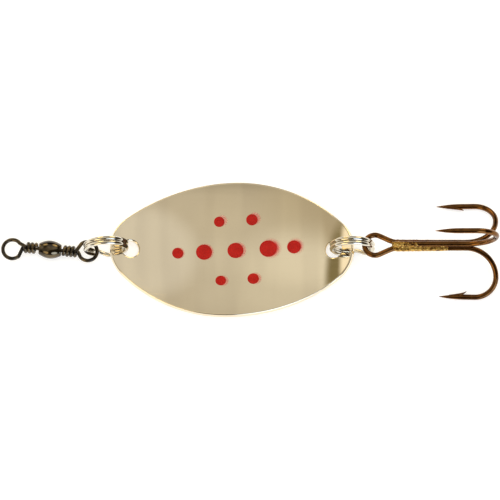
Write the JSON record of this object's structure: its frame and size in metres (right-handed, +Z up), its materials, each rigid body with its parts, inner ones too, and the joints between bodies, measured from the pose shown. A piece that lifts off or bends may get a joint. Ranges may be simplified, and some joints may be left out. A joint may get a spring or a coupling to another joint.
{
  "type": "spoon lure",
  "caption": "Dished oval metal fishing spoon with red lacquer dots, split rings, a barrel swivel at the front and a barbed treble hook at the rear.",
  "frame": {"origin": "on the table under the middle of the lure's bounding box", "axes": "+X along the lure from the swivel to the treble hook, +Z up out of the hollow of the blade"},
  "size_m": [0.1021, 0.0286, 0.0178],
  "materials": {
    "blade_plating": "polished pale gold plating",
    "red_lacquer": "glossy red lacquer",
    "ring_nickel": "bright nickel",
    "black_nickel": "black nickel plating",
    "bronzed_steel": "bronzed, lacquered",
    "braze": "rough golden braze"
  },
  "bodies": {
    "blade": {"spoon_blade": "blade_plating", "dot_row_1": "red_lacquer", "dot_row_2": "red_lacquer", "dot_row_3": "red_lacquer", "dot_row_4": "red_lacquer", "dot_row_5": "red_lacquer", "dot_upper_front": "red_lacquer", "dot_upper_rear": "red_lacquer", "dot_lower_front": "red_lacquer", "dot_lower_rear": "red_lacquer"},
    "front_ring": {"front_split_ring": "ring_nickel"},
    "rear_eye": {"swivel_rear_eye": "black_nickel"},
    "barrel": {"swivel_barrel": "black_nickel"},
    "line_eye": {"swivel_front_eye": "black_nickel"},
    "rear_ring": {"rear_split_ring": "ring_nickel"},
    "treble": {"treble_double_hook": "bronzed_steel", "treble_single_hook": "bronzed_steel", "treble_braze": "braze"}
  },
  "joints": [
    {"name": "front_ring_swing", "type": "hinge", "parent": "blade", "child": "front_ring", "pos_m": [-0.02773, 0, 0.0035], "axis": [0, 1, 0], "range_deg": [-100, 65]},
    {"name": "swivel_pivot", "type": "hinge", "parent": "front_ring", "child": "rear_eye", "pos_m": [-0.03284, -0.0003, 0.0021], "axis": [0, 0, 1], "range_deg": [-50, 50]},
    {"name": "barrel_spin", "type": "hinge", "parent": "rear_eye", "child": "barrel", "pos_m": [-0.04104, 0.00012, 0.00189], "axis": [0.9957, -0.0924, 0], "continuous": true},
    {"name": "line_eye_spin", "type": "hinge", "parent": "barrel", "child": "line_eye", "pos_m": [-0.04104, 0.00012, 0.00189], "axis": [0.9957, -0.0924, 0], "continuous": true},
    {"name": "rear_ring_swing", "type": "hinge", "parent": "blade", "child": "rear_ring", "pos_m": [0.02037, 0, 0.00315], "axis": [0, -1, 0], "range_deg": [-130, 35]},
    {"name": "treble_pivot", "type": "hinge", "parent": "rear_ring", "child": "treble", "pos_m": [0.02502, 0, 0.00581], "axis": [0, 0, 1], "range_deg": [-50, 50]}
  ]
}
